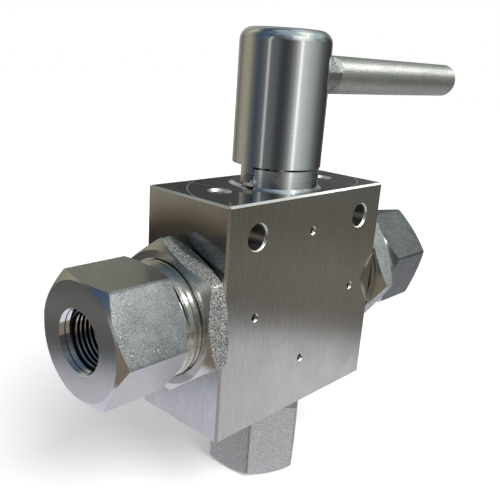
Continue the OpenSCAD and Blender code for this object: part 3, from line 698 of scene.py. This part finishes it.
def adapter_steel(name, axis, turn, face, chamfer, grain, flat_tones, flat_rough, pit_depth,
                  scratched, lapped, under_light):
    """Hexagon bar with blasted flats, turned faces and a bored mouth, round one axis."""
    letter = "Z" if abs(axis[2]) else "X"
    material, tree, shader, place, facing = start_material(name, 1.0, 0.3, lapped, 0.25, letter)
    spun = moved(tree, place, face, turn)
    fine_rings = use_group(tree, tool_rings, Vector=spun, Feed=0.12 * MM)
    rings, radius = fine_rings["Rings"], fine_rings["Radius"]
    wide_rings = use_group(tree, tool_rings, Vector=spun, Feed=0.9 * MM)["Rings"]
    grit = use_group(tree, blasted_grit, Vector=place, Grain_Size=grain)["Grit"]
    fine_grit = use_group(tree, blasted_grit, Vector=place, Grain_Size=grain * 0.4)["Grit"]
    marks = use_group(tree, handling_marks, Vector=place, Size=9 * MM)["Marks"]
    scratch = use_group(tree, hairline_scratches, Vector=place, Length=7 * MM, Amount=scratched)["Scratch"]
    upright = flip(tree, between(tree, calc(tree, "ABSOLUTE", along(tree, facing, axis)), 0.2, 0.4))
    flat = calc(tree, "MULTIPLY", upright, past(tree, radius, chamfer))
    bore = flip(tree, past(tree, radius, PORT_BORE))
    depth = calc(tree, "MULTIPLY", split(tree, spun)[2], -1.0)
    off_groove = calc(tree, "ABSOLUTE", calc(tree, "SUBTRACT", depth, GROOVE_DEPTH))
    groove = flip(tree, between(tree, off_groove, 0.15 * MM, 0.28 * MM))
    dark = calc(tree, "MULTIPLY", calc(tree, "MAXIMUM", groove, past(tree, depth, PORT_ENTRY)), bore)
    # Upward flats are painted darker as shade, with fewer pits, and downward flats lighter as painted
    # light.
    facing_up = between(tree, along(tree, facing, (0, 0, 1)), 0.9, 0.97)
    under = between(tree, along(tree, facing, (0, 0, -1)), 0.35, 0.5)

    blasted = ramp(tree, add_up(tree, 0.0, (grit, 0.65), (fine_grit, 0.35)), flat_tones)
    blasted = lay_over(tree, blasted, FLAT_HANDLED, marks, 0.25)
    blasted = lay_over(tree, blasted, FLAT_TOP_SHADE, facing_up, 0.9)
    blasted = lay_over(tree, blasted, FLAT_UNDER_LIGHT, under, under_light)
    blasted = lay_over(tree, blasted, FLAT_SCRATCHED, scratch, 0.7)
    lathe = lay_over(tree, ramp(tree, rings, TURNED), TURNED_BANDS, wide_rings, 0.25)
    lathe = blend_colours(tree, bore, lathe, BORED)
    tone = lay_over(tree, blend_colours(tree, flat, lathe, blasted), SHADED, dark, 0.94)

    ring_share = add_up(tree, 0.13, (bore, -0.1))
    lathe_rough = add_up(tree, 0.07, (bore, -0.03), (rings, ring_share))
    blast_rough = add_up(tree, flat_rough, (grit, 0.15))
    rough = blend_values(tree, flat, lathe_rough, blast_rough)
    rough = add_up(tree, rough, (dark, 0.4), (marks, 0.04))

    entry = calc(tree, "MULTIPLY", calc(tree, "MINIMUM", depth, PORT_ENTRY), bore)
    end_face = between(tree, along(tree, facing, axis), 0.95, 0.99)
    crown = calc(tree, "MULTIPLY", calc(tree, "MULTIPLY", radius, radius), end_face)
    flared = bump(tree, add_up(tree, entry, (crown, -FACE_CROWN)), ENTRY_FLARE)
    pitted = calc(tree, "MULTIPLY", flat, add_up(tree, 1.0, (facing_up, -0.8)))
    pits = calc(tree, "MULTIPLY", calc(tree, "MULTIPLY", pitted, grit), pit_depth)
    smooth = flip(tree, calc(tree, "MAXIMUM", flat, bore))
    relief = add_up(tree, pits, (calc(tree, "MULTIPLY", smooth, rings), 0.16))
    finish(tree, shader, tone, rough, bump(tree, relief, 0.04 * MM, 0.7, flared))
    return material


def port_thread_steel(name, turn, face):
    """Thread flanks painted near black in the roots as shade, and bright on the crests."""
    material, tree, shader, place, _ = start_material(name, 1.0, 0.2)
    spun = moved(tree, place, face, turn)
    radius = use_group(tree, tool_rings, Vector=spun, Feed=0.2 * MM)["Radius"]
    marks = use_group(tree, handling_marks, Vector=place, Size=3 * MM)["Marks"]
    root = between(tree, radius, PORT_THREAD_CREST + 0.15 * MM, PORT_THREAD_CREST + 0.4 * MM)
    crest = ramp(tree, marks, [(0.0, (0.66, 0.66, 0.67)), (1.0, (0.82, 0.82, 0.83))])
    # The roots are painted near black as shade.
    tone = blend_colours(tree, root, crest, (0.03, 0.03, 0.032))
    depth = calc(tree, "MULTIPLY", split(tree, spun)[2], -1.0)
    finish(tree, shader, tone, add_up(tree, 0.14, (root, 0.3)), bump(tree, depth, ENTRY_FLARE))
    return material


QUARTER = math.pi / 2
right_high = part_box("right_adapter")[1]
bottom_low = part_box("bottom_adapter")[0]
# Each adapter's axis outwards, the turn that brings it to Z, how far out its face lies,
# and its look.
ADAPTERS = (
    ("left", (-1, 0, 0), (0, QUARTER, 0), -left_low.x, {
        "chamfer": 18.5 * MM, "grain": 0.2 * MM, "flat_tones": SATIN, "flat_rough": 0.18, "pit_depth": 0.9,
        "scratched": 0.2, "lapped": 0.5, "under_light": 0.85}),
    ("right", (1, 0, 0), (0, -QUARTER, 0), right_high.x, {
        "chamfer": 18.5 * MM, "grain": 0.3 * MM, "flat_tones": DULL, "flat_rough": 0.22, "pit_depth": 0.4,
        "scratched": 0.5, "lapped": 0.0, "under_light": 0.0}),
    ("bottom", (0, 0, -1), (2 * QUARTER, 0, 0), port_height - bottom_low.z, {
        "chamfer": 16.0 * MM, "grain": 0.42 * MM, "flat_tones": PALE, "flat_rough": 0.18, "pit_depth": 1.6,
        "scratched": 0.1, "lapped": 0.0, "under_light": 0.0}),
)
for side, axis, turn, reach, look in ADAPTERS:
    face = Vector((0, 0, port_height)) + reach * Vector(axis)
    dress(side + "_adapter", adapter_steel(side + "_adapter_steel", axis, turn, face, **look))
    to_port = Matrix.Translation((0, 0, port_height)) @ Euler(turn).to_matrix().to_4x4().inverted()
    thread_end = reach - PORT_THREAD_START - PORT_THREAD_LENGTH
    wind_thread(side + "_port_thread", port_thread_steel(side + "_thread_steel", turn, face),
                to_port @ Matrix.Translation((0, 0, thread_end)), "adapter_steel",
                root_radius=PORT_THREAD_ROOT, crest_radius=PORT_THREAD_CREST, root_width=1.3 * MM,
                crest_width=0.4 * MM, pitch=PORT_PITCH, turns=PORT_THREAD_LENGTH / PORT_PITCH,
                run_out=0.25, steps=72)
    if side != "bottom":
        length = reach - HEX_LENGTH - LOCK_THREAD_START
        wind_thread(side + "_lock_thread", cut_thread_steel,
                    to_port @ Matrix.Translation((0, 0, LOCK_THREAD_START)), "adapter_steel",
                    root_radius=LOCK_THREAD_ROOT, crest_radius=LOCK_THREAD_CREST, root_width=LOCK_PITCH,
                    crest_width=1.1 * MM, pitch=LOCK_PITCH, turns=length / LOCK_PITCH,
                    run_out=0.1, steps=96)


# Each locknut is a heavy hexagon nut, grit-blasted on its flats and turned on its faces,
# that jams its adapter against the block.

NUT_CHAMFER = 21.9 * MM
NUT_TURNED = [(0.3, (0.54, 0.53, 0.52)), (0.7, (0.7, 0.69, 0.68))]
COARSE = [(0.3, (0.07, 0.07, 0.065)), (0.5, (0.32, 0.315, 0.3)), (0.7, (0.92, 0.91, 0.88))]
FINE = [(0.3, (0.4, 0.42, 0.41)), (0.7, (0.9, 0.94, 0.92))]


def nut_steel(name, side, blast_depth, blast_rough, blast_tones):
    material, tree, shader, place, facing = start_material(name, 1.0, 0.3, 0.4, 0.25, "X")
    spun = moved(tree, place, (side * block_high.x, 0, port_height), (0, -side * QUARTER, 0))
    fine_rings = use_group(tree, tool_rings, Vector=spun, Feed=0.16 * MM)
    rings = fine_rings["Rings"]
    grit = use_group(tree, blasted_grit, Vector=place, Grain_Size=0.4 * MM)["Grit"]
    spark = use_group(tree, blasted_grit, Vector=place, Grain_Size=0.22 * MM)["Grit"]
    marks = use_group(tree, handling_marks, Vector=place, Size=8 * MM)["Marks"]
    upright = flip(tree, between(tree, calc(tree, "ABSOLUTE", along(tree, facing, (1, 0, 0))), 0.2, 0.4))
    flat = calc(tree, "MULTIPLY", upright, past(tree, fine_rings["Radius"], NUT_CHAMFER))
    mixed = add_up(tree, 0.0, (grit, 0.6), (spark, 0.4))
    tone = blend_colours(tree, flat, ramp(tree, rings, NUT_TURNED), ramp(tree, mixed, blast_tones))
    lathe_rough = add_up(tree, 0.05, (marks, 0.05), (rings, 0.12))
    rough = blend_values(tree, flat, lathe_rough, add_up(tree, blast_rough, (spark, 0.12)))
    cut = calc(tree, "MULTIPLY", flip(tree, flat), calc(tree, "MULTIPLY", rings, 0.1))
    relief = add_up(tree, cut, (calc(tree, "MULTIPLY", flat, mixed), blast_depth))
    finish(tree, shader, tone, rough, bump(tree, relief, 0.06 * MM, 0.9))
    return material


dress("left_locknut", nut_steel("left_nut_steel", -1, 3.0, 0.34, COARSE))
dress("right_locknut", nut_steel("right_nut_steel", 1, 1.0, 0.27, FINE))


# The seats and the thrust washer are turned from a hard natural-coloured polymer. They
# hold the ball, and carry the load of the stem's collar.

def turned_polymer(name, pale, deep, rough, feed):
    material, tree, shader, place, _ = start_material(name, 0.0, rough)
    rings = use_group(tree, tool_rings, Vector=place, Feed=feed)["Rings"]
    marks = use_group(tree, handling_marks, Vector=place, Size=6 * MM)["Marks"]
    tone = ramp(tree, add_up(tree, 0.0, (marks, 0.5), (rings, 0.5)), [(0.2, deep), (0.8, pale)])
    finish(tree, shader, tone, add_up(tree, rough, (marks, 0.12)), bump(tree, rings, 0.01 * MM, 0.5))
    return material


seat_polymer = turned_polymer("seat_polymer", (0.6, 0.46, 0.27), (0.5, 0.36, 0.2), 0.38, 0.2 * MM)
for node_name in ("left_seat", "right_seat", "bottom_seat", "thrust_washer"):
    dress(node_name, seat_polymer)


# The seals on the adapter noses are black rubber rings, each with a white
# fluoropolymer ring behind it. The same white polymer packs the stem.

def moulded_rubber():
    material, tree, shader, place, _ = start_material("seal_rubber", 0.0, 0.5)
    marks = use_group(tree, handling_marks, Vector=place, Size=4 * MM)["Marks"]
    tone = ramp(tree, marks, [(0.0, (0.012, 0.012, 0.013)), (1.0, (0.03, 0.03, 0.031))])
    finish(tree, shader, tone, add_up(tree, 0.42, (marks, 0.2)), bump(tree, marks, 0.01 * MM, 0.5))
    return material


seal_rubber = moulded_rubber()
packing_polymer = turned_polymer("packing_polymer", (0.86, 0.85, 0.81), (0.78, 0.77, 0.72), 0.45, 0.3 * MM)
for node_name in ("left_oring", "right_oring", "bottom_oring"):
    dress(node_name, seal_rubber)
for node_name in ("left_backup_ring", "right_backup_ring", "bottom_backup_ring", "stem_packing"):
    dress(node_name, packing_polymer)


# Ball and stem are one piece of lapped stainless steel. The rings that press the packing
# are turned steel, and the bearings are bored bronze.

def turned_metal(name, dark, light, rough, spread, feed, depth):
    """Metal turned round the stem axis, with its tool rings and a little handling."""
    material, tree, shader, place, _ = start_material(name, 1.0, rough, 0.3, 0.25, "Z")
    rings = use_group(tree, tool_rings, Vector=place, Feed=feed)["Rings"]
    marks = use_group(tree, handling_marks, Vector=place, Size=10 * MM)["Marks"]
    scratch = use_group(tree, hairline_scratches, Vector=place, Length=4 * MM, Amount=0.15)["Scratch"]
    tone = ramp(tree, add_up(tree, 0.0, (marks, 0.3), (rings, 0.7)), [(0.3, dark), (0.7, light)])
    tone = lay_over(tree, tone, (0.9, 0.9, 0.9), scratch, 0.4)
    rough = add_up(tree, rough, (marks, spread), (rings, spread))
    finish(tree, shader, tone, rough, bump(tree, rings, depth, 0.5))
    return material


STEM = {"dark": (0.62, 0.63, 0.64), "light": (0.7, 0.71, 0.72), "rough": 0.06, "spread": 0.05}
RING = {"dark": (0.54, 0.54, 0.54), "light": (0.68, 0.68, 0.67), "rough": 0.18, "spread": 0.1}
BRONZE = {"dark": (0.5, 0.3, 0.13), "light": (0.68, 0.45, 0.22), "rough": 0.2, "spread": 0.1}
ring_steel = turned_metal("ring_steel", feed=0.3 * MM, depth=0.01 * MM, **RING)
bearing_bronze = turned_metal("bearing_bronze", feed=0.3 * MM, depth=0.01 * MM, **BRONZE)
dress("ball_stem", turned_metal("stem_steel", feed=0.3 * MM, depth=0.004 * MM, **STEM))
dress("packing_backing_ring", ring_steel)
dress("packing_follower", ring_steel)
dress("lower_bearing", bearing_bronze)
dress("gland_bushing", bearing_bronze)


# The packing gland is a turned steel screw. The half that stands up in front is the stop
# for the handle, and its coned foot lies on the block.

GLAND = {"dark": (0.68, 0.69, 0.7), "light": (0.86, 0.87, 0.88), "rough": 0.06, "spread": 0.07}
dress("packing_gland", turned_metal("gland_steel", feed=0.4 * MM, depth=0.006 * MM, **GLAND))


# The hub is turned and polished stainless steel, rounded at its top, with the stop leg
# left standing at its rim. It sits on the stem's square.

HUB = {"dark": (0.68, 0.68, 0.685), "light": (0.72, 0.72, 0.725), "rough": 0.014, "spread": 0.01}
dress("handle_hub", turned_metal("hub_steel", feed=0.5 * MM, depth=0.002 * MM, **HUB))


# The handle bar is finely blasted round bar with four milled wrench flats beside the hub,
# screwed into it until its point locks the stem. Beside the hub it is smoother and darker.

NECK_END = 24.7 * MM
BLASTED_START = 25.0 * MM


def bar_steel():
    material, tree, shader, place, _ = start_material("bar_steel", 1.0, 0.42, 0.6, 0.25, "X")
    grit = use_group(tree, blasted_grit, Vector=place, Grain_Size=0.36 * MM)["Grit"]
    marks = use_group(tree, handling_marks, Vector=place, Size=8 * MM)["Marks"]
    scratch = use_group(tree, hairline_scratches, Vector=place, Length=5 * MM, Amount=0.3)["Scratch"]
    neck = flip(tree, between(tree, along(tree, place, (1, 0, 0)), NECK_END, BLASTED_START))
    tone = ramp(tree, grit, [(0.2, (0.3, 0.3, 0.275)), (0.8, (0.66, 0.66, 0.61))])
    tone = lay_over(tree, tone, (0.36, 0.36, 0.35), neck, 0.8)
    tone = lay_over(tree, tone, (0.5, 0.5, 0.48), marks, 0.25)
    tone = lay_over(tree, tone, (0.9, 0.9, 0.88), scratch, 0.5)
    rough = add_up(tree, 0.33, (marks, 0.06), (grit, 0.1), (neck, -0.16))
    finish(tree, shader, tone, rough, bump(tree, grit, 0.08 * MM, 0.6))
    return material


dress("handle_bar", bar_steel())
